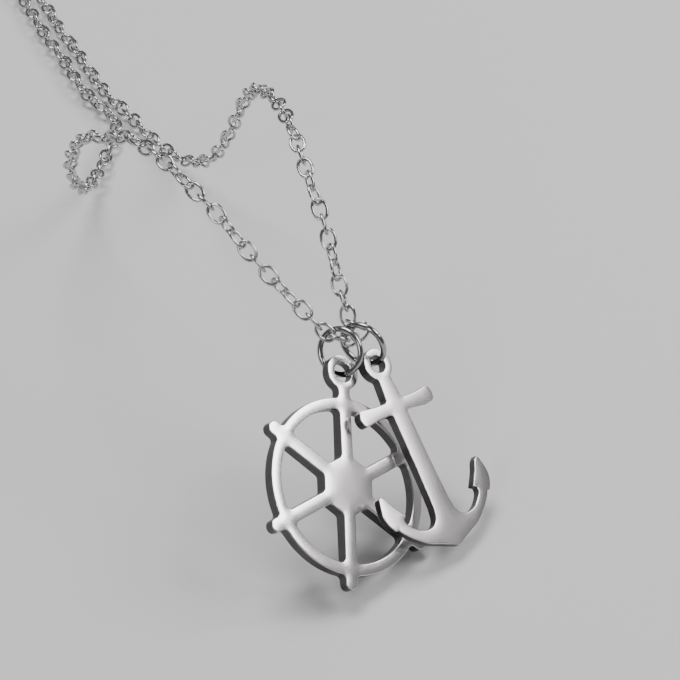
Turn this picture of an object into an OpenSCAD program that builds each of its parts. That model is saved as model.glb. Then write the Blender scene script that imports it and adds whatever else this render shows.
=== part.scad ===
// Necklace with a ship's wheel charm and an anchor charm, draped as it hangs over a low mound.
// Millimetres, +Z up. The origin is the top of the drape, midway between the two strands.

/* [Ship's wheel charm] */
// Outer radius of the wheel's ring
wheel_r = 11.3; // [10.5:0.1:12]
// Width of the wheel's ring
wheel_ring_w = 1.4; // [1:0.1:2]
// Width of a spoke and of its round-ended handle
spoke_w = 1.7; // [1.2:0.1:2.2]
// Distance from the hub's middle to a handle's tip
handle_r = 13.05; // [12.8:0.05:14]
// Corner radius of the twelve-sided hub
hub_r = 3.7; // [3:0.1:4.5]
// Thickness of the wheel's plate
wheel_t = 2; // [1.5:0.1:2]
// Radius of the wheel's eye
wheel_eye_r = 2.3; // [2.2:0.1:2.5]
// Radius of the hole in the wheel's eye
wheel_eye_hole_r = 1.3; // [1.3:0.05:1.5]
// Radius of the wheel's inner corners
wheel_fillet = 0.6; // [0.2:0.1:0.8]

/* [Anchor charm] */
// Thickness of the anchor's plate
anchor_t = 1.6; // [1.2:0.1:1.6]
// Radius of the anchor's eye
anchor_eye_r = 2.13; // [2:0.01:2.4]
// Radius of the hole in the anchor's eye
anchor_eye_hole_r = 1.1; // [1.1:0.05:1.3]
// Half the length of the anchor's stock
stock_half_l = 6.25; // [5.5:0.05:6.5]
// Height of the stock at its middle
stock_w = 1.64; // [1.4:0.02:2]
// Radius of the corners at the stock's ends
stock_corner_r = 0.3; // [0.1:0.05:0.4]
// Height of the stock's flared ends
stock_end_w = 2.14; // [2:0.02:2.6]
// How far the stock's ends bulge
stock_bulge = 0.75; // [0.4:0.05:1]
// Radius of the inner corners at the anchor's eye and stock
anchor_fillet = 0.5; // [0.2:0.1:0.6]
// Gap between the anchor's back and the wheel's face
charm_gap = 0.18; // [0.16:0.01:0.25]

/* [Jump rings] */
// Wire of a jump ring
ring_wire = 0.8; // [0.6:0.05:0.8]
// Radius of a jump ring to the middle of its wire
ring_r = 2.9; // [2.8:0.05:3]

/* [Chain] */
// Length of a link
link_l = 3.14; // [3.12:0.01:3.16]
// Width of a link
link_w = 2.24; // [2.2:0.01:2.24]
// Wire of a link
link_wire = 0.45; // [0.41:0.01:0.45]
// Distance between the two strands where they lie side by side
strand_gap = 2.8; // [2.6:0.1:3.2]

/* [Clasp] */
// Radius of the spring ring to the middle of its tube
clasp_r = 2.4; // [2.3:0.1:2.6]
// Tube of the spring ring
clasp_tube = 1; // [0.9:0.05:1]
// Radius of the clasp's eye to the middle of its wire
clasp_eye_r = 0.95; // [0.95:0.05:1.1]
// Wire of the clasp's eye
clasp_eye_wire = 0.55; // [0.5:0.05:0.55]
// Radius of the end ring to the middle of its wire
end_ring_r = 1.9; // [1.85:0.05:2]
// Wire of the end ring
end_ring_wire = 0.5; // [0.4:0.05:0.5]

/* [Hidden] */
steel = "#c9c8c8";
dark_steel = "#8e9094";

// Charms' common plane: its up and facing directions, and the wheel's hub at its front face
charm_up = [-0.039, 0.851, 0.523];
charm_out = [0.567, -0.412, 0.713];
hub_at = [15.16, -35.73, -25.6];
// Wheel: number of spokes, and the eye's distance from the hub
spokes = 6;
wheel_eye_y = 14.8;
neck_w = 1.7;
// Anchor: its eye on the wheel's plane, its turn there, and how far its crown leans away from the wheel
anchor_at = [3.99, 15.85];
anchor_turn = 25.4;
anchor_lean = 2.9;
stock_y = -5.77;
stock_taper_l = 2.2;
// Anchor's shank: half width and height, eye to crown
shank = [[0.95, -1.6], [1.22, -4.2], [1.22, -7.7], [1.28, -13.3], [1.4, -17.4], [1.6, -21.8]];
// Right arm, in stretches: its hollow, the barb's back, the fluke's outer side and the crown
arm_hollow = [[1.35, -18.3], [1.64, -19.9], [1.88, -20.65], [2.4, -21.23], [3.17, -21.5], [4.12, -21.45],
    [5, -21.12], [5.65, -20.65], [6.2, -20.1], [6.5, -19.6], [6.52, -19.1]];
barb_notch = [5.97, -18.8];
barb_back = [[6.55, -18.07], [7.34, -17], [7.92, -16], [8.5, -15.45]];
fluke_side = [[8.87, -15.75], [9.2, -16.97], [9.3, -18], [9.1, -18.9], [8.75, -19.55], [8.33, -20.1]];
arm_under = [[7.92, -20.1], [7.57, -20.6], [6.95, -21.22], [6.4, -21.72], [4.43, -23.1], [2.28, -23.93],
    [0, -24.8]];

// Jump rings: centre and facing direction
wheel_ring_at = [14.02, -21.03, -16.42];
wheel_ring_out = [-0.487, -0.741, 0.463];
anchor_ring_at = [16.88, -20.02, -16.09];
anchor_ring_out = [-0.456, -0.888, 0.057];

// Chain: distance between hooking points, and the side that the first links face
link_gap = 0.22;
pitch = link_l - 2 * link_wire - link_gap;
chain_out = [0, -0.77, 0.64];
// Links at the jump rings: first end, second end, turn about the link's length
LINK_FROM = 0;
LINK_TO = 1;
LINK_TURN = 2;
bottom_links = [
    [[10.04, -19.12, -12.12], [11.38, -19.75, -13.49], 88],
    [[11.36, -19.77, -13.48], [12.95, -20.3, -14.61], 11],
    [[12.95, -20.29, -14.62], [14.8, -20.01, -15.37], 83],
    [[14.75, -19.93, -15.36], [16.02, -18.71, -16.36], 25],
    [[15.92, -18.82, -15.96], [17.17, -18.33, -14.44], -1],
    [[16.8, -18.5, -14.65], [15.15, -17.34, -14.55], 93],
    [[15.16, -17.56, -14.67], [14.83, -16.73, -12.85], -5],
    [[14.84, -16.75, -12.87], [14.17, -15.54, -11.41], 77],
];
left_bottom_links = 2;

// Strands over the mound: points on the middle of the chain, charms to the far side
left_over = [[10.03, -19.12, -12.11], [4.9, -16.1, -7.8], [2.3, -14.3, -5.4], [-1.6, -11.1, -1.9],
    [-4.4, -8.7, -0.3], [-8.2, -4.3, 1], [-10.8, -1.2, 0.9], [-13, 2, 0.1], [-15.3, 4.7, -1.7],
    [-17.3, 7.6, -3.7], [-19.4, 10.4, -5.7], [-21, 13, -8.2], [-22, 15.5, -11.2], [-22.9, 18, -14.1],
    [-23.6, 21.5, -19], [-23.6, 26.5, -25.5], [-22.9, 34, -31.2], [-21.8, 44, -34.2]];
right_over = [[14.16, -15.53, -11.4], [12.5, -10.9, -6.2], [11.4, -8, -3.7], [10.1, -4.8, -1.6],
    [9, -1.2, -0.1], [8, 2.5, 0.7], [6.9, 6.4, 0.6], [5.9, 10.2, -0.2], [4.8, 13.8, -1.4],
    [3.7, 17.3, -3], [2.7, 20.6, -5], [1.8, 23.6, -7.5], [0.9, 26.3, -10.3], [-0.4, 29, -15],
    [-2.2, 32, -21], [-5, 36.5, -28], [-9.3, 43, -33], [-14, 49.5, -34.4]];
// Middle line of the two strands where they lie side by side
lying_z = -34.5;
lying = [[-19.4, 55.6], [-24.5, 63.4], [-29.1, 73.4], [-33.1, 81.6], [-36.8, 90.4]];
// Far bight past the lying stretch: distance along it, and half the distance between the strands
bight_dir = [-0.447, 0.894];
bight = [[14, 1.4], [28, 1.9], [40, 4.6], [50, 8], [57.5, 9.8], [63.2, 8.7]];
bight_end = 66;
bight_z = -34.05;

function unit(v) = v / norm(v);
// v without its part along t, made one long
function square_to(v, t) = unit(v - (v * t) * t);
// v turned by an angle about t, which is square to v and one long
function turned(v, t, angle) = cos(angle) * v + sin(angle) * cross(t, v);
// Signed angle from v to w about t
function angle_about(v, w, t) = atan2(cross(v, w) * t, v * w);
// Matrix that carries X, Y and Z to the directions x, y and z, and the origin to a place
function placing(x, y, z, at) = [for (i = [0:2]) [x[i], y[i], z[i], at[i]]];
// Matrix for a thing whose Y axis goes to y and whose Z axis goes nearly to z
function standing(y, z, at) = let (u = unit(y), w = square_to(z, u)) placing(cross(u, w), u, w, at);
// Closed outline, counterclockwise, from its right half listed from the top down
function both_sides(half) = concat(
    [for (p = half) [-p.x, p.y]],
    [for (i = [len(half) - 1:-1:0]) if (half[i].x > 0) half[i]]
);

// Smooth curve through points that lie unevenly apart, with a number of steps between each two
function slope(p, i) =
    let (a = max(i - 1, 0), b = min(i + 1, len(p) - 1), run = norm(p[i] - p[a]) + norm(p[b] - p[i]))
    (p[b] - p[a]) / run;
function blend(a, b, u, v, t) =
    (1 + 2 * t) * (1 - t) ^ 2 * a + t * (1 - t) ^ 2 * u + t ^ 2 * (3 - 2 * t) * b + t ^ 2 * (t - 1) * v;
function smooth(p, steps) = [
    for (i = [0:len(p) - 2], k = [0:steps - 1])
        let (d = norm(p[i + 1] - p[i]))
        blend(p[i], p[i + 1], d * slope(p, i), d * slope(p, i + 1), k / steps),
    p[len(p) - 1],
];
// Running length at each point of a path
function lengths(p) = [
    for (i = 0, s = 0; i < len(p); i = i + 1, s = s + (i < len(p) ? norm(p[i] - p[i - 1]) : 0)) s
];
// Points at equal distances along a path, no further apart than a step
function evenly(p, step) =
    let (
        s = lengths(p),
        total = s[len(s) - 1],
        n = ceil(total / step),
        columns = [for (c = [0:2]) [for (i = [0:len(p) - 1]) [s[i], p[i][c]]]]
    )
    [for (k = [0:n]) [for (c = columns) lookup(k * total / n, c)]];
// Directions square to a path's stretches, carried along it with no twist of their own
function carried(t, first) = [
    for (i = 0, v = square_to(first, t[0]); i < len(t); i = i + 1, v = i < len(t) ? square_to(v, t[i]) : v) v
];
// Turn of a strand's link: crosswise, then flat, then three that share half a turn
function link_turn(i) = 360 * floor(i / 5) + [0, 90, 180, 240, 300][i % 5];

// Place in the far bight, from the distance along it, the side, and the height
function in_bight(along, side, z) =
    let (d = unit(bight_dir), q = lying[len(lying) - 1] + along * d + side * [d.y, -d.x])
    [q.x, q.y, z];
// Path of a strand on side -1 or 1, which ends at a place on the clasp or its ring
function strand_path(over, side, finish) = smooth(concat(
    over,
    [for (i = [0:len(lying) - 1])
        let (
            a = lying[max(i - 1, 0)],
            b = lying[min(i + 1, len(lying) - 1)],
            d = unit(b - a),
            q = lying[i] + side * strand_gap / 2 * [d.y, -d.x]
        )
        [q.x, q.y, lying_z]],
    [for (b = bight) in_bight(b[0], side * b[1], lying_z)],
    [finish]
), 12);

// Clasp across the end of the bight: places along that line, and the heights where links hook in
link_reach = (link_wire + link_gap) / 2;
clasp_eye_side = -3.7;
clasp_eye_seat = clasp_eye_side - clasp_eye_r + (clasp_eye_wire + link_wire) / 2 + link_gap;
end_ring_side = clasp_r + end_ring_r - (clasp_tube + end_ring_wire) / 2 - link_gap;
end_ring_seat = end_ring_side + end_ring_r - (end_ring_wire + link_wire) / 2 - link_gap;
end_ring_lean = 56;
left_finish = in_bight(bight_end, clasp_eye_seat - link_reach, bight_z);
right_finish = in_bight(bight_end, end_ring_seat + link_reach, bight_z);
bight_along = [unit(bight_dir).x, unit(bight_dir).y, 0];
bight_across = [bight_along.y, -bight_along.x, 0];
end_ring_out = turned([0, 0, 1], bight_across, end_ring_lean);

module at_wheel_face() multmatrix(standing(charm_up, charm_out, hub_at)) children();

// Plate with its face at a height and its back below
module plate(face, thickness) translate([0, 0, face - thickness]) linear_extrude(thickness) children();

// Hole straight through a plate
module plate_hole(at, r, face, thickness) translate([at.x, at.y, face - 2 * thickness])
    cylinder(r = r, h = 3 * thickness, $fn = 48);

// Outline with its inner corners rounded
module filleted(r) offset(r = -r, $fn = 24) offset(r = r, $fn = 24) children();

// Outline with its outer corners rounded
module eased(r) offset(r = r, $fn = 24) offset(delta = -r) children();

module spoke_outline(length) {
    translate([-spoke_w / 2, 0]) square([spoke_w, length - spoke_w / 2]);
    translate([0, length - spoke_w / 2]) circle(d = spoke_w, $fn = 32);
}

module wheel_outline() {
    difference() {
        circle(wheel_r, $fn = 96);
        circle(wheel_r - wheel_ring_w, $fn = 96);
    }
    rotate(15) circle(hub_r, $fn = 12);
    for (i = [1:spokes - 1]) rotate(i * 360 / spokes) spoke_outline(handle_r);
    translate([-neck_w / 2, 0]) square([neck_w, wheel_eye_y]);
    translate([0, wheel_eye_y]) circle(wheel_eye_r, $fn = 64);
}

module ship_wheel() color(steel) at_wheel_face() difference() {
    plate(0, wheel_t) filleted(wheel_fillet) wheel_outline();
    plate_hole([0, wheel_eye_y], wheel_eye_hole_r, 0, wheel_t);
}

module arm_outline() {
    polygon(both_sides(concat(
        smooth(arm_hollow, 4),
        [barb_notch],
        smooth(barb_back, 3),
        smooth(fluke_side, 3),
        smooth(arm_under, 4)
    )));
}

module shank_outline() polygon(both_sides(shank));

module stock_outline() translate([0, stock_y]) {
    end_x = stock_half_l - stock_bulge;
    polygon(both_sides([
        [end_x - stock_taper_l, stock_w / 2],
        [end_x, stock_end_w / 2],
        [end_x, -stock_end_w / 2],
        [end_x - stock_taper_l, -stock_w / 2],
    ]));
    for (x = [-end_x, end_x]) translate([x, 0])
        scale([2 * stock_bulge / stock_end_w, 1]) circle(d = stock_end_w, $fn = 48);
}

module anchor_outline() {
    filleted(anchor_fillet) {
        circle(anchor_eye_r, $fn = 64);
        shank_outline();
        eased(stock_corner_r) stock_outline();
    }
    arm_outline();
}

module anchor() color(steel) at_wheel_face() translate([anchor_at.x, anchor_at.y, charm_gap + anchor_t])
    rotate([-anchor_lean, 0, anchor_turn]) difference() {
        plate(0, anchor_t) anchor_outline();
        plate_hole([0, 0], anchor_eye_hole_r, 0, anchor_t);
    }

module wire_ring(r, wire) rotate_extrude($fn = 72) translate([r, 0]) circle(d = wire, $fn = 28);

module jump_ring(at, out) color(dark_steel) multmatrix(standing(square_to([0, 0, 1], unit(out)), out, at))
    wire_ring(ring_r, ring_wire);

module wheel_jump_ring() jump_ring(wheel_ring_at, wheel_ring_out);
module anchor_jump_ring() jump_ring(anchor_ring_at, anchor_ring_out);

module link_bend() translate([0, (link_l - link_w) / 2, 0]) rotate_extrude(angle = 180, $fn = 24)
    translate([(link_w - link_wire) / 2, 0]) circle(d = link_wire, $fn = 16);

// Oval link, long along Y
module link() {
    straight = link_l - link_w;
    link_bend();
    mirror([0, 1, 0]) link_bend();
    for (x = [-1, 1]) translate([x * (link_w - link_wire) / 2, -straight / 2, 0])
        rotate([-90, 0, 0]) cylinder(d = link_wire, h = straight, $fn = 16);
}

module placed_link(a, b, out) multmatrix(standing(b - a, out, (a + b) / 2)) link();

module ring_links(rows) for (row = rows) {
    along = unit(row[LINK_TO] - row[LINK_FROM]);
    out = turned(square_to(unit(chain_out), along), along, row[LINK_TURN]);
    placed_link(row[LINK_FROM], row[LINK_TO], out);
}

// Links along a strand, whose last one is turned to face finish_out by an even twist
module strand(over, side, finish, finish_out) {
    p = evenly(strand_path(over, side, finish), pitch);
    n = len(p) - 1;
    along = [for (i = [0:n - 1]) unit(p[i + 1] - p[i])];
    out = carried(along, chain_out);
    last = angle_about(out[n - 1], square_to(finish_out, along[n - 1]), along[n - 1]);
    twist = (last - link_turn(n + 1)) % 180;
    for (i = [0:n - 1])
        placed_link(p[i], p[i + 1], turned(out[i], along[i], link_turn(i + 2) + twist * i / (n - 1)));
}

module chain_left() color(steel) {
    ring_links([for (i = [0:left_bottom_links - 1]) bottom_links[i]]);
    strand(left_over, -1, left_finish, bight_along);
}

module chain_right() color(steel) {
    ring_links([for (i = [left_bottom_links:len(bottom_links) - 1]) bottom_links[i]]);
    strand(right_over, 1, right_finish, cross(bight_across, end_ring_out));
}

// Flat on the line across the bight's end, at a distance to one side
module in_clasp(side)
    multmatrix(standing(bight_along, [0, 0, 1], in_bight(bight_end, side, bight_z))) children();

module clasp() color(dark_steel) {
    in_clasp(0) wire_ring(clasp_r, clasp_tube);
    in_clasp(clasp_eye_side) wire_ring(clasp_eye_r, clasp_eye_wire);
}

module end_ring() color(dark_steel)
    multmatrix(standing(bight_across, end_ring_out, in_bight(bight_end, end_ring_side, bight_z)))
    wire_ring(end_ring_r, end_ring_wire);

ship_wheel();
anchor();
wheel_jump_ring();
anchor_jump_ring();
chain_left();
chain_right();
clasp();
end_ring();
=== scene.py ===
"""Necklace with an anchor charm and a ship's wheel charm: fine shapes and finishes.

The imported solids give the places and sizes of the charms, the rings and the links, and the clasp repeats
its own. Each class below makes the finished piece that stands for its node, and dresses it. Lengths are
metres and angles degrees, except where a name ends in mm.
"""

import logging
import math
from dataclasses import dataclass, replace
from enum import Enum

import bmesh
import bpy
import numpy as np
from mathutils import Matrix, Vector

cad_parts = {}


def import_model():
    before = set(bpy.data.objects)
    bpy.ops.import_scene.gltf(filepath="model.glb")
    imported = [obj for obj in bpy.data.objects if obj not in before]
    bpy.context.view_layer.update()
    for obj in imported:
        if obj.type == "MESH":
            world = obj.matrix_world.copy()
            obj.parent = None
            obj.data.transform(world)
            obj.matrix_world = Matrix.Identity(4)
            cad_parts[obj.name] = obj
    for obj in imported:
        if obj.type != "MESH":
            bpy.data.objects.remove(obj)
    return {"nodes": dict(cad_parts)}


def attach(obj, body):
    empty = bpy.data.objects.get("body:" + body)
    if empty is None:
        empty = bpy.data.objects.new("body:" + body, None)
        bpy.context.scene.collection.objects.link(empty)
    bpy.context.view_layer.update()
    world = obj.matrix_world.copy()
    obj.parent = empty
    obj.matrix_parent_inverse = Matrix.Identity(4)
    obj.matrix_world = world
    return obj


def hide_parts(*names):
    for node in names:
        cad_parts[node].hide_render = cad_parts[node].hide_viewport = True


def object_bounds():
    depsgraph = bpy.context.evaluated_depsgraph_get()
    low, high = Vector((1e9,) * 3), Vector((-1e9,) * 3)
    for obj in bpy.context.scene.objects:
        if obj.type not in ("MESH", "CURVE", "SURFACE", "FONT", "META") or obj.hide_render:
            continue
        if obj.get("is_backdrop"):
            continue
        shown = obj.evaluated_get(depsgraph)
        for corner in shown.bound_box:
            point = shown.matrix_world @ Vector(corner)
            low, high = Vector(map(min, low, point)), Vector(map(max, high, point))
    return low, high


LOG = logging.getLogger("necklace")
MM = 0.001
# A length too fine to see.
HAIR = 0.001 * MM
BODY = "root"


class Slot(Enum):
    """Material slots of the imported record."""

    CHARM = "charm_steel"
    RING = "ring_steel"
    CHAIN = "chain_steel"


class Zone(Enum):
    """Zones of a charm, by the number of their material."""

    FACE = 0
    EDGE = 1
    WALL = 2


@dataclass(frozen=True)
class Steel:
    """A steel surface: its tint, its polish and its fine wear.

    Attributes:
        name: The material's name.
        tint: Red, green and blue of the steel.
        roughness: The polish's usual roughness.
        roughness_spread: How far the roughness drifts either way.
        cloud_size: Size of the soft clouds that the polish and the tint drift with.
        scratch_size: Width of the fine scratches.
        scratch_stretch: How many times longer than wide a scratch is.
        scratch_depth: Depth of the scratches.
        tint_spread: Share by which the tint drifts either way.
        cloud_detail: Finer layers of the clouds.
        polish_between: Levels of the clouds between which the roughness drifts.
        tint_between: Levels of the clouds between which the tint drifts.
        scratch_detail: Finer layers of the scratches.
        scratch_strength: Share of the scratches that shows in the shading.
    """

    name: str
    tint: tuple[float, float, float]
    roughness: float
    roughness_spread: float
    cloud_size: float
    scratch_size: float
    scratch_stretch: float
    scratch_depth: float
    tint_spread: float = 0.04
    cloud_detail: float = 3.0
    polish_between: tuple[float, float] = (0.3, 0.7)
    tint_between: tuple[float, float] = (0.35, 0.65)
    scratch_detail: float = 2.0
    scratch_strength: float = 0.35

    def make(self) -> bpy.types.Material:
        """Builds the node material.

        Returns:
            The material, with clouded polish, faint tint changes and fine scratches.
        """
        material = bpy.data.materials.new(self.name)
        material.use_nodes = True
        tree = material.node_tree
        shader = tree.nodes["Principled BSDF"]
        shader.inputs["Metallic"].default_value = 1.0
        place = tree.nodes.new("ShaderNodeTexCoord")
        clouds = self._noise(tree, place, 1.0 / self.cloud_size, (1.0, 1.0, 1.0), self.cloud_detail)
        self._polish(tree, shader, clouds)
        self._tinting(tree, shader, clouds)
        self._scratches(tree, shader, place)
        return material

    @staticmethod
    def _noise(
        tree: bpy.types.NodeTree,
        place: bpy.types.Node,
        scale: float,
        stretch: tuple[float, float, float],
        detail: float,
    ) -> bpy.types.Node:
        """Adds a noise pattern on object coordinates.

        Args:
            tree: The material's node tree.
            place: Its texture coordinate node.
            scale: Waves to the metre.
            stretch: Factor on each axis, small where the pattern runs long.
            detail: Finer layers of the noise.

        Returns:
            The noise node.
        """
        mapping = tree.nodes.new("ShaderNodeMapping")
        mapping.inputs["Scale"].default_value = stretch
        noise = tree.nodes.new("ShaderNodeTexNoise")
        noise.inputs["Scale"].default_value = scale
        noise.inputs["Detail"].default_value = detail
        tree.links.new(place.outputs["Object"], mapping.inputs["Vector"])
        tree.links.new(mapping.outputs["Vector"], noise.inputs["Vector"])
        return noise

    def _polish(
        self,
        tree: bpy.types.NodeTree,
        shader: bpy.types.Node,
        clouds: bpy.types.Node,
    ) -> None:
        """Lets the roughness drift with the clouds.

        Args:
            tree: The material's node tree.
            shader: Its surface shader.
            clouds: The clouds' noise node.
        """
        low, high = self.polish_between
        spread = tree.nodes.new("ShaderNodeMapRange")
        spread.inputs["From Min"].default_value = low
        spread.inputs["From Max"].default_value = high
        spread.inputs["To Min"].default_value = self.roughness - self.roughness_spread
        spread.inputs["To Max"].default_value = self.roughness + self.roughness_spread
        tree.links.new(clouds.outputs["Fac"], spread.inputs["Value"])
        tree.links.new(spread.outputs["Result"], shader.inputs["Roughness"])

    def _tinting(
        self,
        tree: bpy.types.NodeTree,
        shader: bpy.types.Node,
        clouds: bpy.types.Node,
    ) -> None:
        """Lets the tint drift a little with the clouds.

        Args:
            tree: The material's node tree.
            shader: Its surface shader.
            clouds: The clouds' noise node.
        """
        ramp = tree.nodes.new("ShaderNodeValToRGB")
        darker = [c * (1.0 - self.tint_spread) for c in self.tint]
        lighter = [min(1.0, c * (1.0 + self.tint_spread)) for c in self.tint]
        for stop, level, colour in zip(ramp.color_ramp.elements, self.tint_between, (darker, lighter)):
            stop.position = level
            stop.color = (*colour, 1.0)
        tree.links.new(clouds.outputs["Fac"], ramp.inputs["Fac"])
        tree.links.new(ramp.outputs["Color"], shader.inputs["Base Color"])

    def _scratches(
        self,
        tree: bpy.types.NodeTree,
        shader: bpy.types.Node,
        place: bpy.types.Node,
    ) -> None:
        """Adds the fine scratches that tumbling leaves, as bump.

        Args:
            tree: The material's node tree.
            shader: Its surface shader.
            place: Its texture coordinate node.
        """
        stretch = (1.0, 1.0 / self.scratch_stretch, 1.0)
        lines = self._noise(tree, place, 1.0 / self.scratch_size, stretch, self.scratch_detail)
        bump = tree.nodes.new("ShaderNodeBump")
        bump.inputs["Strength"].default_value = self.scratch_strength
        bump.inputs["Distance"].default_value = self.scratch_depth
        tree.links.new(lines.outputs["Fac"], bump.inputs["Height"])
        tree.links.new(bump.outputs["Normal"], shader.inputs["Normal"])


FACE_STEEL = Steel(
    name="charm_face",
    tint=(0.80, 0.785, 0.79),
    roughness=0.2,
    roughness_spread=0.015,
    cloud_size=6 * MM,
    scratch_size=0.1 * MM,
    scratch_stretch=9.0,
    scratch_depth=0.0003 * MM,
    tint_spread=0.02,
)
# The anchor's faces are a darker copy of the wheel's steel: painted shade, for the lesser light that their
# tilt catches.
ANCHOR_STEEL_PAINTED_SHADE = replace(
    FACE_STEEL,
    name="anchor_face_painted_shade",
    tint=(0.60, 0.585, 0.59),
    roughness_spread=0.012,
)
EDGE_STEEL = Steel(
    name="charm_edge",
    tint=(0.74, 0.73, 0.735),
    roughness=0.16,
    roughness_spread=0.03,
    cloud_size=2 * MM,
    scratch_size=0.08 * MM,
    scratch_stretch=6.0,
    scratch_depth=0.002 * MM,
)
# The cut walls' nearly black tint is painted dark reflection: it stands in for the dark surroundings that
# the polished walls mirror.
WALL_STEEL_PAINTED_DARK = Steel(
    name="charm_wall_painted_dark_reflection",
    tint=(0.085, 0.083, 0.085),
    roughness=0.34,
    roughness_spread=0.06,
    cloud_size=1.2 * MM,
    scratch_size=0.05 * MM,
    scratch_stretch=3.0,
    scratch_depth=0.006 * MM,
    tint_spread=0.12,
)
# The rings' dark tint is painted dark reflection: it stands in for the dark surroundings that the polished
# wire mirrors.
RING_STEEL_PAINTED_DARK = Steel(
    name="ring_steel",
    tint=(0.37, 0.37, 0.375),
    roughness=0.15,
    roughness_spread=0.04,
    cloud_size=1.5 * MM,
    scratch_size=0.06 * MM,
    scratch_stretch=4.0,
    scratch_depth=0.002 * MM,
    tint_spread=0.08,
)
CHAIN_STEEL = Steel(
    name="chain_steel",
    tint=(0.5, 0.495, 0.5),
    roughness=0.17,
    roughness_spread=0.05,
    cloud_size=2.5 * MM,
    scratch_size=0.08 * MM,
    scratch_stretch=4.0,
    scratch_depth=0.002 * MM,
    tint_spread=0.08,
)


@dataclass(frozen=True)
class Placing:
    """Where a round or oval wire piece lies.

    Attributes:
        middle: Its middle.
        along: Its long direction.
        out: The direction square to its plane.
        play: How far a fine piece stays inside its solid.
    """

    middle: Vector
    along: Vector
    out: Vector
    play: float = 0.004 * MM

    @classmethod
    def of_points(cls, points: list[Vector]) -> "Placing":
        """Finds the placing of a flat closed wire from the points of its solid.

        Args:
            points: The solid's corners.

        Returns:
            The placing, with its long direction along and its plane's normal out.
        """
        middle = sum(points, Vector()) / len(points)
        along = cls._farthest([p - middle for p in points])
        across = cls._farthest([(p - middle) - (p - middle).dot(along) * along for p in points])
        return cls(middle, along, across.cross(along).normalized())

    @staticmethod
    def _farthest(arms: list[Vector]) -> Vector:
        """Finds the direction of the longest arms, those on one side taken together.

        Args:
            arms: The corners, seen from the middle.

        Returns:
            The direction, which the arms that reach nearly as far share.
        """
        nearly = 0.985
        longest = max(arms, key=lambda arm: arm.length)
        near = [arm for arm in arms if arm.dot(longest) > nearly * longest.length_squared]
        return sum(near, Vector()).normalized()

    @property
    def across(self) -> Vector:
        """The direction across the piece, in its plane."""
        return self.along.cross(self.out)

    def matrix(self) -> Matrix:
        """The matrix that turns X, Y and Z to across, along and out, and the origin to the middle."""
        turn = Matrix((self.across, self.along, self.out)).transposed().to_4x4()
        return Matrix.Translation(self.middle) @ turn

    def half_sizes(self, points: list[Vector]) -> tuple[float, float, float]:
        """Measures how far points reach from the middle.

        Args:
            points: The solid's corners.

        Returns:
            The reach across, along and out.
        """
        arms = [p - self.middle for p in points]
        directions = (self.across, self.along, self.out)
        return tuple(max(abs(arm.dot(way)) for arm in arms) - self.play for way in directions)


def merged_copy(node: bpy.types.Object) -> bmesh.types.BMesh:
    """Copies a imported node's loose triangles and joins their corners.

    Args:
        node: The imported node.

    Returns:
        A new bmesh, which the caller frees.
    """
    mesh = bmesh.new()
    mesh.from_mesh(node.data)
    bmesh.ops.remove_doubles(mesh, verts=mesh.verts, dist=HAIR / 2)
    return mesh


def solids_of(mesh: bmesh.types.BMesh) -> list[list[Vector]]:
    """Splits a mesh into its separate solids.

    Args:
        mesh: The mesh, with joined corners.

    Returns:
        The corners of each solid.
    """
    reached = set()
    solids = []
    for seed in mesh.verts:
        if seed in reached:
            continue
        reached.add(seed)
        found = [seed]
        for vert in found:
            for edge in vert.link_edges:
                other = edge.other_vert(vert)
                if other not in reached:
                    reached.add(other)
                    found.append(other)
        solids.append([vert.co.copy() for vert in found])
    return solids


def finished(
    name: str,
    mesh: bmesh.types.BMesh,
    materials: list[bpy.types.Material],
) -> bpy.types.Object:
    """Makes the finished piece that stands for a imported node, and frees its bmesh.

    Args:
        name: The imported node's name, from which the piece takes its own.
        mesh: The piece's shape, in place.
        materials: The finishes, in the order of the faces' material numbers.

    Returns:
        The piece, which rides on the necklace's body.
    """
    bmesh.ops.recalc_face_normals(mesh, faces=mesh.faces)
    for face in mesh.faces:
        face.smooth = True
    data = bpy.data.meshes.new(name + "_fine")
    mesh.to_mesh(data)
    mesh.free()
    for material in materials:
        data.materials.append(material)
    piece = bpy.data.objects.new(name + "_fine", data)
    bpy.context.scene.collection.objects.link(piece)
    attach(piece, BODY)
    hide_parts(name)
    LOG.info("%s: %d faces", piece.name, len(data.polygons))
    return piece


def wire_loop(
    wire_r: float,
    loop_r: float,
    sides: int,
    steps: int,
    start: float = 0.0,
    sweep: float = 360.0,
) -> bmesh.types.BMesh:
    """Spins a round wire into a loop about Z.

    Args:
        wire_r: Radius of the wire.
        loop_r: Radius of the loop, to the middle of the wire.
        sides: Sides of the wire.
        steps: Steps of the loop.
        start: Angle at which the wire starts, from X.
        sweep: Angle that the wire covers, 360 for a closed loop.

    Returns:
        The loop, whose ends are closed if it has any.
    """
    mesh = bmesh.new()
    closed = sweep >= 360.0
    wire = bmesh.ops.create_circle(mesh, cap_ends=False, segments=sides, radius=wire_r)["verts"]
    upright = Matrix.Rotation(math.radians(90), 4, "X")
    bmesh.ops.transform(mesh, matrix=Matrix.Translation((loop_r, 0, 0)) @ upright, verts=wire)
    turned = Matrix.Rotation(math.radians(start), 3, "Z")
    bmesh.ops.rotate(mesh, cent=(0, 0, 0), matrix=turned, verts=wire)
    first = list(mesh.edges)
    made = bmesh.ops.spin(
        mesh,
        geom=list(mesh.verts) + first,
        cent=(0, 0, 0),
        axis=(0, 0, 1),
        angle=math.radians(sweep),
        steps=steps,
        use_merge=closed,
    )
    if not closed:
        last = [item for item in made["geom_last"] if isinstance(item, bmesh.types.BMEdge)]
        for ends in (first, last):
            bmesh.ops.contextual_create(mesh, geom=ends)
    return mesh


def end_rims(mesh: bmesh.types.BMesh) -> list[bmesh.types.BMEdge]:
    """Lists the edges round a wire's two closed ends, the only faces with more than four corners."""
    ends = [face for face in mesh.faces if len(face.verts) > 4]
    return list(dict.fromkeys(edge for face in ends for edge in face.edges))


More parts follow.
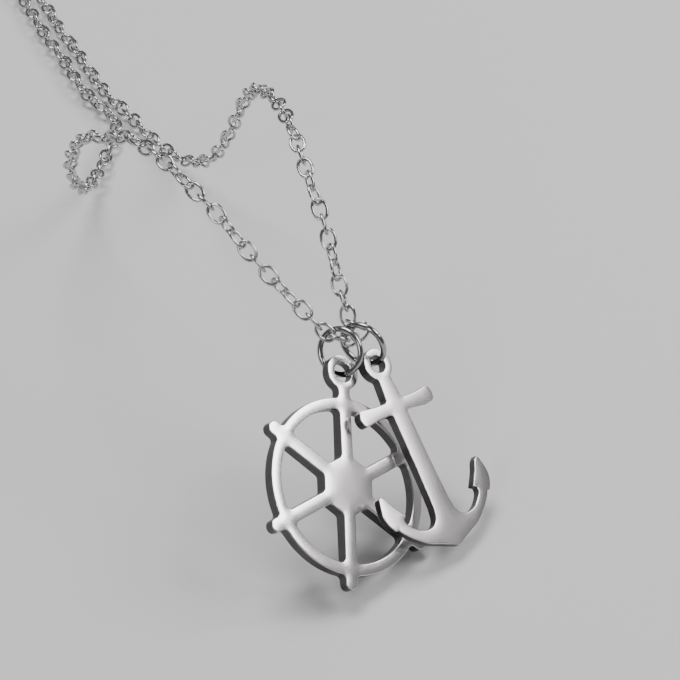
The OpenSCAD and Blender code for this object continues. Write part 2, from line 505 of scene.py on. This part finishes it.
def round_edges(
    mesh: bmesh.types.BMesh,
    edges: list[bmesh.types.BMEdge],
    radius: float,
    segments: int = 3,
) -> None:
    """Rounds sharp edges.

    Args:
        mesh: The shape.
        edges: Its sharp edges.
        radius: How far the rounding reaches.
        segments: Steps of the rounding.
    """
    bmesh.ops.bevel(
        mesh,
        geom=edges,
        offset=radius,
        offset_type="OFFSET",
        affect="EDGES",
        segments=segments,
        profile=0.5,
        clamp_overlap=True,
        material=-1,
    )


@dataclass(frozen=True)
class CharmFinishAndPaintedShade:
    """The finishes of a charm.

    Attributes:
        face: The finish of its faces; the anchor's is a darker copy of the same steel that paints shade on
            them.
        edge: The finish of its tumbled edges.
        wall: The finish of its cut walls, whose nearly black tint is painted dark reflection.
    """

    face: bpy.types.Material
    edge: bpy.types.Material
    wall: bpy.types.Material

    def materials(self) -> list[bpy.types.Material]:
        """The finishes in the order of the zones' numbers."""
        of_zone = {Zone.FACE: self.face, Zone.EDGE: self.edge, Zone.WALL: self.wall}
        return [of_zone[zone] for zone in Zone]


@dataclass(frozen=True)
class Tumbling:
    """The marks of tumbling on a cut face: a small rounded edge, then a swell that levels off inside.

    Attributes:
        edge_r: Radius of the rounded edge.
        edge_steps: Steps of the rounding.
        slope: Steepness of the swell at the rim.
        level_at: Distance from the rim at which the swell is level.
        rings: Widths of the rings of faces next to the rim.
        cell: Width of the cells that the face is cut into.
    """

    edge_r: float = 0.1 * MM
    edge_steps: int = 3
    slope: float = 3.3
    level_at: float = 3.4 * MM
    rings: tuple[float, ...] = (0.06 * MM, 0.09 * MM)
    cell: float = 0.5 * MM

    def edge_steps_in_up(self) -> list[tuple[float, float]]:
        """Lists the steps of the rounded edge.

        Returns:
            How far each step goes in and up.
        """
        last = 90.0 - self.slope
        turns = [math.radians(last * step / self.edge_steps) for step in range(self.edge_steps + 1)]
        points = [(self.edge_r * (1 - math.cos(turn)), self.edge_r * math.sin(turn)) for turn in turns]
        return [(b[0] - a[0], b[1] - a[1]) for a, b in zip(points, points[1:])]

    def edge_height(self) -> float:
        """Height of the rounded edge."""
        return sum(up for _, up in self.edge_steps_in_up())

    def swell(self, depths: np.ndarray) -> np.ndarray:
        """Heights of the swell above the rounded edge, at distances from the rim."""
        depths = np.minimum(depths, self.level_at)
        return math.tan(math.radians(self.slope)) * (depths - depths**2 / (2 * self.level_at))


@dataclass(frozen=True)
class Bend:
    """The slight bulge of a charm's faces over their whole width.

    Attributes:
        middle: The place where the bulge is highest.
        up: Direction of the charm's height.
        radius_across: Radius of the bulge across the charm.
        radius_up: Radius of the bulge along the charm's height.
    """

    middle: tuple[float, float, float]
    up: tuple[float, float, float]
    radius_across: float
    radius_up: float

    def drops_and_tilts(self, places: np.ndarray, side: Vector) -> tuple[np.ndarray, np.ndarray]:
        """Finds how far the bulge lowers places on a face, and how it tilts the face there.

        Args:
            places: The places, one to a row.
            side: The direction that the face looks.

        Returns:
            The drops, and what the tilt adds to the face's direction.
        """
        up = np.array(self.up) / np.linalg.norm(self.up)
        across = np.cross(up, np.array(side))
        arms = places - np.array(self.middle)
        drops = np.zeros(len(places))
        tilts = np.zeros_like(places)
        for way, radius in ((across, self.radius_across), (up, self.radius_up)):
            reach = arms @ way
            drops += reach**2 / (2 * radius)
            tilts += np.outer(reach / radius, way)
        return drops, tilts


class Rim:
    """The sides of a flat face's outline, which give a smooth distance from all of them together."""

    def __init__(self, edges: list[bmesh.types.BMEdge]) -> None:
        """Measures the sides once, before the mesh changes further.

        Args:
            edges: The outline's edges.
        """
        self.starts = np.array([tuple(edge.verts[0].co) for edge in edges])
        ways = np.array([tuple(edge.verts[1].co) for edge in edges]) - self.starts
        self.lengths = np.linalg.norm(ways, axis=1)
        self.ways = ways / self.lengths[:, None]

    def depths(self, places: np.ndarray) -> np.ndarray:
        """Finds how deep inside the outline places are.

        The distances are joined smoothly, so no crease runs along the middle of a bar.

        Args:
            places: Places in the face's plane, one to a row.

        Returns:
            The joined distances, which near one straight side are the distances from it.
        """
        arms = places[:, None, :] - self.starts
        before = -(arms * self.ways).sum(axis=2)
        after = before + self.lengths
        off = np.maximum((arms**2).sum(axis=2) - before**2, HAIR**2)
        pull = after / np.sqrt(off + after**2) - before / np.sqrt(off + before**2)
        return (pull / (2 * off)).sum(axis=1) ** -0.5


@dataclass
class Charm:
    """A flat charm cut from plate and tumbled.

    Attributes:
        node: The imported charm.
        bend: The bulge of its faces.
        tumbling: The marks of tumbling on them.
        flat: Angle within which neighbouring faces are joined into one.
        shortest_side: Distance under which the outline's corners are joined.
        probe: Distance over which the swell's slope is measured.
        squarely: Cosine above which a face counts as looking squarely to a side.
        face_above: Cosine of the angle to the plate's faces above which a face is dressed as theirs.
        edge_above: The same for the tumbled edge, under which a face is dressed as wall.
    """

    node: bpy.types.Object
    bend: Bend
    tumbling: Tumbling = Tumbling()
    flat: float = 0.3
    shortest_side: float = 0.06 * MM
    probe: float = 0.005 * MM
    squarely: float = 0.99
    face_above: float = 0.94
    edge_above: float = 0.12

    def build(self, finish: CharmFinishAndPaintedShade) -> bpy.types.Object:
        """Tumbles the cut plate and dresses it.

        Args:
            finish: The charm's finishes, with painted dark reflection on its walls.

        Returns:
            The finished charm.
        """
        mesh = merged_copy(self.node)
        mesh.verts.layers.float_vector.new("facing")
        bmesh.ops.remove_doubles(mesh, verts=mesh.verts, dist=self.shortest_side)
        bmesh.ops.dissolve_limit(
            mesh,
            angle_limit=math.radians(self.flat),
            use_dissolve_boundaries=False,
            verts=mesh.verts,
            edges=mesh.edges,
        )
        out = max(mesh.faces, key=lambda face: face.calc_area()).normal.copy()
        for side in (out, -out):
            self._tumble(mesh, side)
        for face in mesh.faces:
            face.material_index = self._zone(abs(face.normal.dot(out))).value
        facings = self._facings(mesh)
        piece = finished(self.node.name, mesh, finish.materials())
        piece.data.normals_split_custom_set_from_vertices(facings)
        return piece

    def _tumble(self, mesh: bmesh.types.BMesh, side: Vector) -> None:
        """Rounds a flat face's edge and lets the face swell towards its middle.

        Args:
            mesh: The charm's shape.
            side: The direction that the face looks.
        """
        levels = [vert.co.dot(side) for vert in mesh.verts]
        middle = (min(levels) + max(levels)) / 2
        flat = self._flat_faces(mesh, side)
        for inwards, up in self.tumbling.edge_steps_in_up():
            self._inset(mesh, flat, inwards, up)
        rim = self._rim_edges(mesh, side)
        outline = Rim(rim)
        for width in self.tumbling.rings:
            self._inset(mesh, flat, width, 0.0)
        self._cut_in_cells(mesh, bmesh.ops.triangulate(mesh, faces=flat)["faces"], side)
        highest = self._raise_face(mesh, rim, outline, side)
        self._lower(mesh, side, middle, self.tumbling.edge_height() + highest)

    def _rim_edges(self, mesh: bmesh.types.BMesh, side: Vector) -> list[bmesh.types.BMEdge]:
        """Lists the edges where a flat face meets its rounded edge, in the same order each time."""
        edges = dict.fromkeys(edge for face in self._flat_faces(mesh, side) for edge in face.edges)
        return [edge for edge in edges if self._borders_slope(edge, side)]

    def _raise_face(
        self,
        mesh: bmesh.types.BMesh,
        rim: list[bmesh.types.BMEdge],
        outline: Rim,
        side: Vector,
    ) -> float:
        """Lets a flat face swell inside its rim, and notes the direction that each corner then faces.

        Args:
            mesh: The charm's shape.
            rim: The edges round the face.
            outline: The same edges, measured.
            side: The direction that the face looks.

        Returns:
            The swell's greatest height.
        """
        rim_verts = dict.fromkeys(vert for edge in rim for vert in edge.verts)
        flat_verts = dict.fromkeys(vert for face in self._flat_faces(mesh, side) for vert in face.verts)
        swelling = [vert for vert in flat_verts if vert not in rim_verts]
        places = np.array([tuple(vert.co) for vert in swelling])
        heights, slopes = self._swell(outline, places, side)
        tilts = self.bend.drops_and_tilts(places, side)[1]
        facing = mesh.verts.layers.float_vector["facing"]
        for vert, height, turn in zip(swelling, heights, tilts - slopes):
            vert.co += side * height
            vert[facing] = (side + Vector(turn)).normalized()
        return float(heights.max())

    def _lower(self, mesh: bmesh.types.BMesh, side: Vector, middle: float, depth: float) -> None:
        """Lowers one side of the charm, which then bulges and stays inside its solid.

        Args:
            mesh: The charm's shape.
            side: The direction that the face looks.
            middle: Level of the plate's middle.
            depth: How far the side is lowered where the bulge is highest.
        """
        upper = [vert for vert in mesh.verts if vert.co.dot(side) > middle]
        drops = self.bend.drops_and_tilts(np.array([tuple(vert.co) for vert in upper]), side)[0]
        for vert, drop in zip(upper, drops):
            vert.co -= side * (depth + drop)

    def _swell(self, outline: Rim, places: np.ndarray, side: Vector) -> tuple[np.ndarray, np.ndarray]:
        """Finds the swell's height and slope at places on a flat face.

        Args:
            outline: The face's outline.
            places: The places, one to a row.
            side: The direction that the face looks.

        Returns:
            The heights, and the directions of steepest rise with the slopes as their lengths.
        """
        slopes = np.zeros_like(places)
        across = side.orthogonal().normalized()
        for way in (np.array(across), np.array(side.cross(across))):
            ahead = self.tumbling.swell(outline.depths(places + way * self.probe))
            behind = self.tumbling.swell(outline.depths(places - way * self.probe))
            slopes += np.outer((ahead - behind) / (2 * self.probe), way)
        return self.tumbling.swell(outline.depths(places)), slopes

    @staticmethod
    def _facings(mesh: bmesh.types.BMesh) -> list[Vector]:
        """Lists the direction that the surface faces at each corner.

        Args:
            mesh: The charm's shape.

        Returns:
            The swell's own directions, and elsewhere the faces' together, where large ones count more.
        """
        bmesh.ops.recalc_face_normals(mesh, faces=mesh.faces)
        facing = mesh.verts.layers.float_vector["facing"]
        facings = []
        for vert in mesh.verts:
            known = vert[facing].copy()
            # The swell's directions have a length of one, and the others none.
            if known.length < 0.5:
                known = sum((face.normal * face.calc_area() for face in vert.link_faces), Vector())
            facings.append(known.normalized())
        mesh.verts.layers.float_vector.remove(facing)
        return facings

    @staticmethod
    def _inset(
        mesh: bmesh.types.BMesh,
        region: list[bmesh.types.BMFace],
        inwards: float,
        up: float,
    ) -> None:
        """Puts a ring of faces inside the rims of a region.

        Args:
            mesh: The charm's shape.
            region: The faces inside the rims.
            inwards: The ring's width.
            up: How far the ring rises.
        """
        bmesh.ops.inset_region(
            mesh,
            faces=region,
            use_boundary=True,
            use_even_offset=True,
            thickness=inwards,
            depth=up,
        )

    def _cut_in_cells(
        self,
        mesh: bmesh.types.BMesh,
        faces: list[bmesh.types.BMFace],
        side: Vector,
    ) -> None:
        """Cuts flat faces along a grid, so that they can swell.

        Args:
            mesh: The charm's shape.
            faces: The flat faces.
            side: The direction that they look.
        """
        across = side.orthogonal().normalized()
        for way in (across, side.cross(across)):
            faces = self._cut_in_strips(mesh, faces, way)

    def _cut_in_strips(
        self,
        mesh: bmesh.types.BMesh,
        faces: list[bmesh.types.BMFace],
        way: Vector,
    ) -> list[bmesh.types.BMFace]:
        """Cuts faces into strips of one cell's width.

        Args:
            mesh: The charm's shape.
            faces: The faces.
            way: The direction across the strips.

        Returns:
            The faces of all the strips.
        """
        level = min(vert.co.dot(way) for face in faces for vert in face.verts)
        cut_faces = []
        while faces:
            level += self.tumbling.cell
            pieces = bmesh.ops.bisect_plane(
                mesh,
                geom=faces + list(dict.fromkeys(edge for face in faces for edge in face.edges)),
                dist=HAIR,
                plane_co=way * level,
                plane_no=way,
            )["geom"]
            faces = []
            for piece in pieces:
                if isinstance(piece, bmesh.types.BMFace):
                    beyond = piece.calc_center_median().dot(way) > level
                    (faces if beyond else cut_faces).append(piece)
        return cut_faces

    def _flat_faces(self, mesh: bmesh.types.BMesh, side: Vector) -> list[bmesh.types.BMFace]:
        """Lists the faces that look squarely to one side."""
        mesh.normal_update()
        return [face for face in mesh.faces if face.normal.dot(side) > self.squarely]

    def _borders_slope(self, edge: bmesh.types.BMEdge, side: Vector) -> bool:
        """Tells whether a face next to the edge doesn't look squarely to the side."""
        return any(face.normal.dot(side) < self.squarely for face in edge.link_faces)

    def _zone(self, facing: float) -> Zone:
        """Finds the zone of a face.

        Args:
            facing: How squarely the face lies in the plate's plane, from 0 to 1.

        Returns:
            The zone.
        """
        if facing > self.face_above:
            return Zone.FACE
        return Zone.EDGE if facing > self.edge_above else Zone.WALL


WHEEL_BEND = Bend(
    middle=(15.16 * MM, -35.73 * MM, -25.6 * MM),
    up=(-0.039, 0.851, 0.523),
    radius_across=0.45,
    radius_up=0.45,
)
ANCHOR_BEND = Bend(
    middle=(18.83 * MM, -21.68 * MM, -17.9 * MM),
    up=(-0.4163, 0.6499, 0.6359),
    radius_across=0.28,
    radius_up=2.0,
)
ANCHOR_TUMBLING = Tumbling(slope=2.2, level_at=1.4 * MM)


@dataclass
class WireRing:
    """A ring bent from round wire, whose two cut ends meet at a fine seam.

    Attributes:
        node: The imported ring.
        sides: Sides of the wire.
        steps: Steps of the loop.
        seam: Width of the seam.
        seam_at: Where the seam is, as an angle round the ring.
    """

    node: bpy.types.Object
    sides: int = 20
    steps: int = 88
    seam: float = 0.05 * MM
    seam_at: float = 200.0

    def build(self, material: bpy.types.Material) -> bpy.types.Object:
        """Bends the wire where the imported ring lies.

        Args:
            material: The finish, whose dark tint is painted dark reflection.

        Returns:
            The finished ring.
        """
        solid = merged_copy(self.node)
        points = solids_of(solid)[0]
        solid.free()
        place = Placing.of_points(points)
        outer_r, _, wire_r = place.half_sizes(points)
        loop_r = outer_r - wire_r
        gap = math.degrees(self.seam / loop_r)
        mesh = wire_loop(wire_r, loop_r, self.sides, self.steps, self.seam_at + gap / 2, 360.0 - gap)
        round_edges(mesh, end_rims(mesh), self.seam / 2, segments=2)
        bmesh.ops.transform(mesh, matrix=place.matrix(), verts=mesh.verts)
        return finished(self.node.name, mesh, [material])


@dataclass
class Chain:
    """A run of oval links, each in the place of a packed link.

    Attributes:
        node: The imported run.
        sides: Sides of the wire.
        steps: Steps of a link.
        bow: Share of the round loop's radius over which it is stretched to an oval.
    """

    node: bpy.types.Object
    sides: int = 6
    steps: int = 14
    bow: float = 0.75

    def one_link(self, half_w: float, half_l: float, wire_r: float) -> bpy.types.Mesh:
        """Makes one oval link, long along Y and flat in Z.

        Args:
            half_w: Half the link's width.
            half_l: Half its length.
            wire_r: Radius of its wire.

        Returns:
            The link's mesh, which the run repeats.
        """
        loop_r = half_w - wire_r
        mesh = wire_loop(wire_r, loop_r, self.sides, self.steps)
        stretch = half_l - half_w
        for vert in mesh.verts:
            share = vert.co.y / (self.bow * loop_r)
            vert.co.y += stretch * max(-1.0, min(1.0, share))
        data = bpy.data.meshes.new("link")
        mesh.to_mesh(data)
        mesh.free()
        return data

    def build(self, material: bpy.types.Material) -> bpy.types.Object:
        """Puts a link in the place of each packed one.

        Args:
            material: The finish.

        Returns:
            The finished run of links.
        """
        solid = merged_copy(self.node)
        solids = solids_of(solid)
        solid.free()
        places = [Placing.of_points(points) for points in solids]
        link = self.one_link(*places[0].half_sizes(solids[0]))
        run = bmesh.new()
        for place in places:
            before = len(run.verts)
            run.from_mesh(link)
            run.verts.ensure_lookup_table()
            bmesh.ops.transform(run, matrix=place.matrix(), verts=run.verts[before:])
        bpy.data.meshes.remove(link)
        return finished(self.node.name, run, [material])


@dataclass
class Clasp:
    """The spring ring clasp: a tube with a sliding gate, its thumb nub, and the chain's eye.

    Angles are round the clasp, from the side away from the eye.

    Attributes:
        node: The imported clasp.
        middle: Middle of the clasp's ring.
        across: Direction from the eye to the ring.
        loop_r: Radius of the ring, to the middle of its tube.
        tube_r: Radius of the tube.
        tube_sides: Sides of the tube.
        tube_steps: Steps of the tube's sweep.
        gate_r: Radius of the gate's wire.
        gate_from: Angle at which the gate comes out of the tube.
        gate_sweep: Angle over which the gate shows.
        gate_hidden: Angle by which each of its ends reaches into the tube.
        gate_sides: Sides of the gate's wire.
        gate_steps: Steps of the gate's sweep.
        lip: Radius of the rounded lips at the tube's ends.
        nub_r: Radius of the nub.
        nub_taper: Radius of the nub's free end, as a share of nub_r.
        nub_edge_r: Radius of the rounding at that end.
        nub_reach: Half the nub's length.
        nub_turn: Angle from the gate's end to the nub.
        nub_sides: Sides of the nub.
        eye_side: Place of the eye's middle along across.
        eye_loop_r: Radius of the eye, to the middle of its wire.
        eye_wire_r: Radius of the eye's wire.
        eye_sides: Sides of the eye's wire.
        eye_steps: Steps of the eye.
    """

    node: bpy.types.Object
    middle: tuple[float, float, float] = (-66.3161 * MM, 149.4323 * MM, -34.05 * MM)
    across: tuple[float, float, float] = (0.894428, 0.447214, 0.0)
    loop_r: float = 2.4 * MM
    tube_r: float = 0.5 * MM
    tube_sides: int = 20
    tube_steps: int = 64
    gate_r: float = 0.36 * MM
    gate_from: float = 20.0
    gate_sweep: float = 62.0
    gate_hidden: float = 4.0
    gate_sides: int = 16
    gate_steps: int = 24
    lip: float = 0.06 * MM
    nub_r: float = 0.22 * MM
    nub_taper: float = 0.85
    nub_edge_r: float = 0.088 * MM
    nub_reach: float = 0.34 * MM
    nub_turn: float = 17.0
    nub_sides: int = 16
    eye_side: float = -3.7 * MM
    eye_loop_r: float = 0.95 * MM
    eye_wire_r: float = 0.275 * MM
    eye_sides: int = 14
    eye_steps: int = 40

    def build(self, material: bpy.types.Material) -> bpy.types.Object:
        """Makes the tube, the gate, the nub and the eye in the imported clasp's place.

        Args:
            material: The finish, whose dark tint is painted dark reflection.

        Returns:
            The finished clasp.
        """
        clasp = bmesh.new()
        gate_to = self.gate_from + self.gate_sweep
        tube = wire_loop(
            self.tube_r,
            self.loop_r,
            self.tube_sides,
            self.tube_steps,
            start=gate_to,
            sweep=360.0 - self.gate_sweep,
        )
        round_edges(tube, end_rims(tube), self.lip)
        gate = wire_loop(
            self.gate_r,
            self.loop_r,
            self.gate_sides,
            self.gate_steps,
            start=self.gate_from - self.gate_hidden,
            sweep=self.gate_sweep + 2 * self.gate_hidden,
        )
        eye = wire_loop(self.eye_wire_r, self.eye_loop_r, self.eye_sides, self.eye_steps)
        bmesh.ops.translate(eye, vec=(self.eye_side, 0, 0), verts=eye.verts)
        for part in (tube, gate, self._nub(gate_to + self.nub_turn), eye):
            data = bpy.data.meshes.new("clasp_part")
            part.to_mesh(data)
            part.free()
            clasp.from_mesh(data)
            bpy.data.meshes.remove(data)
        across = Vector(self.across)
        up = Vector((0, 0, 1))
        place = Placing(Vector(self.middle), up.cross(across), up)
        bmesh.ops.transform(clasp, matrix=place.matrix(), verts=clasp.verts)
        return finished(self.node.name, clasp, [material])

    def _nub(self, turn: float) -> bmesh.types.BMesh:
        """Makes the thumb nub, which stands out of the tube towards the clasp's middle.

        Args:
            turn: Its angle round the clasp.

        Returns:
            The nub's shape.
        """
        nub = bmesh.new()
        bmesh.ops.create_cone(
            nub,
            cap_ends=True,
            segments=self.nub_sides,
            radius1=self.nub_r,
            radius2=self.nub_r * self.nub_taper,
            depth=2 * self.nub_reach,
        )
        tops = [edge for edge in nub.edges if min(vert.co.z for vert in edge.verts) > 0]
        round_edges(nub, tops, self.nub_edge_r)
        outward = Matrix.Rotation(math.radians(90), 4, "Y")
        reach = Matrix.Translation((self.loop_r - self.tube_r, 0, 0))
        swing = Matrix.Rotation(math.radians(turn), 4, "Z")
        turned_round = Matrix.Rotation(math.radians(180), 4, "Z")
        bmesh.ops.transform(nub, matrix=swing @ reach @ turned_round @ outward, verts=nub.verts)
        return nub


@dataclass(frozen=True)
class Softbox:
    """A soft area light.

    Attributes:
        name: The light's name.
        at: Its place.
        size: Its width and height.
        power: Its power in watts.
        tint: Its colour.
        aim: The point that it is aimed at.
    """

    name: str
    at: tuple[float, float, float]
    size: tuple[float, float]
    power: float
    tint: tuple[float, float, float] = (1.0, 1.0, 1.0)
    aim: tuple[float, float, float] = (0.015, -0.035, -0.02)

    def place(self) -> None:
        """Adds the light to the scene, with its width level."""
        data = bpy.data.lights.new(self.name, "AREA")
        data.shape = "RECTANGLE"
        data.size, data.size_y = self.size
        data.energy = self.power
        data.color = self.tint
        light = bpy.data.objects.new(self.name, data)
        light.location = self.at
        light.rotation_mode = "QUATERNION"
        light.rotation_quaternion = (Vector(self.aim) - Vector(self.at)).to_track_quat("-Z", "Y")
        bpy.context.scene.collection.objects.link(light)


@dataclass
class Studio:
    """The floor, the lights and the camera.

    Attributes:
        floor_z: Height of the floor.
        floor_size: Length of the floor's sides.
        floor_tint: Colour of the floor.
        floor_roughness: Roughness of the floor.
        air_tint: Colour of the even light in the room.
        air_strength: Strength of that light.
        camera_at: Place of the camera.
        camera_elevation: Angle by which the camera looks down.
        focal_length_mm: Focal length of the lens.
        sensor_width_mm: Width of the sensor.
        nearest_seen: Least distance at which the camera sees.
        boxes: The soft lights.
    """

    floor_z: float
    floor_size: float = 4.0
    floor_tint: tuple[float, float, float] = (0.62, 0.62, 0.625)
    floor_roughness: float = 0.9
    air_tint: tuple[float, float, float] = (0.95, 0.97, 1.0)
    air_strength: float = 0.16
    camera_at: tuple[float, float, float] = (0.014, -0.254, 0.181)
    camera_elevation: float = 40.0
    focal_length_mm: float = 128.65
    sensor_width_mm: float = 36.0
    nearest_seen: float = 0.01
    boxes: tuple[Softbox, ...] = (
        Softbox(
            name="key",
            at=(0.528, 0.045, 0.478),
            size=(0.5, 0.34),
            power=4.2,
            tint=(1.0, 0.955, 0.968),
        ),
        Softbox(name="top", at=(-0.15, 0.25, 0.75), size=(0.5, 0.35), power=5.6),
        Softbox(name="front", at=(-0.3, -0.65, 0.4), size=(0.12, 0.3), power=1.2),
    )

    def build(self) -> None:
        """Sets the whole studio up."""
        self._floor()
        self._air()
        for box in self.boxes:
            box.place()
        self._camera()

    def _floor(self) -> None:
        """Lays the pale floor."""
        mesh = bmesh.new()
        bmesh.ops.create_grid(mesh, x_segments=1, y_segments=1, size=self.floor_size / 2)
        bmesh.ops.translate(mesh, vec=(0, 0, self.floor_z), verts=mesh.verts)
        data = bpy.data.meshes.new("floor")
        mesh.to_mesh(data)
        mesh.free()
        material = bpy.data.materials.new("floor_paint")
        material.use_nodes = True
        shader = material.node_tree.nodes["Principled BSDF"]
        shader.inputs["Base Color"].default_value = (*self.floor_tint, 1.0)
        shader.inputs["Roughness"].default_value = self.floor_roughness
        data.materials.append(material)
        floor = bpy.data.objects.new("floor", data)
        bpy.context.scene.collection.objects.link(floor)
        floor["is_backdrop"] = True

    def _air(self) -> None:
        """Fills the room with even light."""
        world = bpy.data.worlds.new("air")
        world.use_nodes = True
        background = world.node_tree.nodes["Background"]
        background.inputs["Color"].default_value = (*self.air_tint, 1.0)
        background.inputs["Strength"].default_value = self.air_strength
        bpy.context.scene.world = world

    def _camera(self) -> None:
        """Sets the camera at the photograph's viewing angle."""
        data = bpy.data.cameras.new("camera")
        data.sensor_width = self.sensor_width_mm
        data.lens = self.focal_length_mm
        data.clip_start = self.nearest_seen
        camera = bpy.data.objects.new("camera", data)
        camera.location = self.camera_at
        camera.rotation_euler = (math.radians(90.0 - self.camera_elevation), 0.0, 0.0)
        bpy.context.scene.collection.objects.link(camera)
        bpy.context.scene.camera = camera


def corners(bounds: tuple[Vector, Vector]) -> list[list[float]]:
    """Writes a box's two corners as plain lists."""
    return [list(corner) for corner in bounds]


def main() -> None:
    """Builds the necklace, its finishes and the studio."""
    logging.basicConfig(level=logging.INFO, format="%(name)s: %(message)s")
    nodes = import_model()["nodes"]
    cad_box = corners(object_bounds())
    floor_gap = 0.15 * MM
    Studio(floor_z=cad_box[0][2] - floor_gap).build()
    # The walls' finish paints a dark reflection on them.
    wheel_finish_and_painted_shade = CharmFinishAndPaintedShade(FACE_STEEL.make(), EDGE_STEEL.make(), WALL_STEEL_PAINTED_DARK.make())
    # The anchor's darker face finish is painted shade.
    anchor_finish_and_painted_shade = CharmFinishAndPaintedShade(ANCHOR_STEEL_PAINTED_SHADE.make(), wheel_finish_and_painted_shade.edge, wheel_finish_and_painted_shade.wall)
    # The rings' and the clasp's dark tint is painted dark reflection.
    ring_steel = RING_STEEL_PAINTED_DARK.make()
    chain_steel = CHAIN_STEEL.make()
    Charm(nodes["ship_wheel"], WHEEL_BEND).build(wheel_finish_and_painted_shade)
    Charm(nodes["anchor"], ANCHOR_BEND, ANCHOR_TUMBLING).build(anchor_finish_and_painted_shade)
    WireRing(nodes["wheel_jump_ring"]).build(ring_steel)
    WireRing(nodes["anchor_jump_ring"]).build(ring_steel)
    WireRing(nodes["end_ring"], steps=64).build(ring_steel)
    Chain(nodes["chain_left"]).build(chain_steel)
    Chain(nodes["chain_right"]).build(chain_steel)
    Clasp(nodes["clasp"]).build(ring_steel)


if __name__ == "__main__":
    main()
